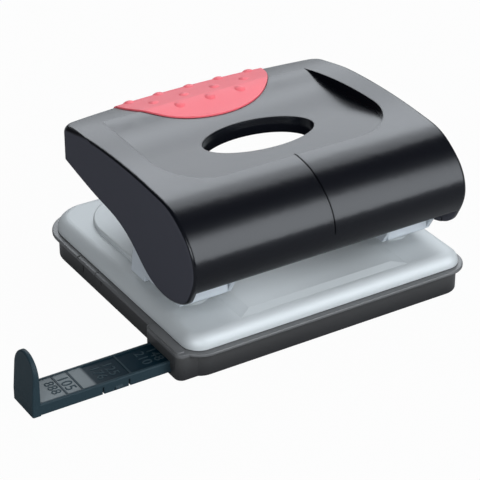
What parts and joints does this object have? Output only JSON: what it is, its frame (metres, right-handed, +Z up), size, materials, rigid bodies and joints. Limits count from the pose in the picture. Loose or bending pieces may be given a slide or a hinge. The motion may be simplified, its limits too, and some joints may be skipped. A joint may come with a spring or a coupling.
{
  "type": "two_hole_punch",
  "caption": "Two-hole desk punch with a wide black handle, oval finger hole, soft red grip, pressed steel base, smoke plastic chip tray and a sliding paper guide",
  "frame": {"origin": "On the chip tray's underside, where it stands on the desk: the middle of the tray's width, 48.85 mm behind its front wall.", "axes": "+Z up from the desk, +X to the right along the line of the two holes and away from the paper guide's stop, +Y from the paper's side towards the hand's end of the handle."},
  "size_m": [0.1641, 0.1064, 0.0573],
  "materials": {
    "smoke_plastic": "semi-gloss moulded, slightly see-through",
    "satin_steel": "satin silver coat on a steel pressing",
    "zinc_sheet": "zinc-plated sheet steel",
    "bright_steel": "turned and plated steel",
    "dark_steel": "blackened spring steel",
    "spring_wire": "drawn spring wire",
    "black_plastic": "semi-gloss moulded plastic",
    "red_rubber": "soft matt grip",
    "dark_plastic": "satin moulded plastic"
  },
  "bodies": {
    "tray": {"chip_tray": "smoke_plastic"},
    "base": {"base_plate": "satin_steel", "left_bracket": "zinc_sheet", "right_bracket": "zinc_sheet", "left_bracket_rivets": "bright_steel", "right_bracket_rivets": "bright_steel", "left_pivot_pin": "bright_steel", "right_pivot_pin": "bright_steel", "left_pivot_clip": "dark_steel", "right_pivot_clip": "dark_steel"},
    "handle": {"handle_shell": "black_plastic", "grip_pad": "red_rubber", "lever_frame": "zinc_sheet", "lever_screws": "bright_steel"},
    "left_punch_body": {"left_punch": "bright_steel", "left_spring_washer": "zinc_sheet", "left_retaining_ring": "dark_steel", "left_spring": "spring_wire"},
    "right_punch_body": {"right_punch": "bright_steel", "right_spring_washer": "zinc_sheet", "right_retaining_ring": "dark_steel", "right_spring": "spring_wire"},
    "guide": {"paper_guide": "dark_plastic"}
  },
  "joints": [
    {"name": "tray_release", "type": "slide", "parent": "tray", "child": "base", "axis": [0, 0, 1], "range_m": [0, 0.02]},
    {"name": "handle_hinge", "type": "hinge", "parent": "base", "child": "handle", "pos_m": [0, -0.039, 0.0365], "axis": [-1, 0, 0], "range_deg": [0, 17.5], "stiffness_Nm_per_rad": 0.6, "springref_deg": -28.65},
    {"name": "left_punch_slide", "type": "slide", "parent": "base", "child": "left_punch_body", "axis": [0, 0, -1], "range_m": [0, 0.00488], "stiffness_N_per_m": 3, "springref_m": -0.02, "deforming": ["left_spring"]},
    {"name": "right_punch_slide", "type": "slide", "parent": "base", "child": "right_punch_body", "axis": [0, 0, -1], "range_m": [0, 0.00488], "stiffness_N_per_m": 3, "springref_m": -0.02, "deforming": ["right_spring"]},
    {"name": "paper_guide_slide", "type": "slide", "parent": "tray", "child": "guide", "axis": [1, 0, 0], "range_m": [-0.009, 0.044]}
  ],
  "couplings": [
    {"joint": "handle_hinge", "follows": "left_punch_slide", "rad_per_m": 62.5},
    {"joint": "right_punch_slide", "follows": "left_punch_slide", "ratio": 1}
  ]
}
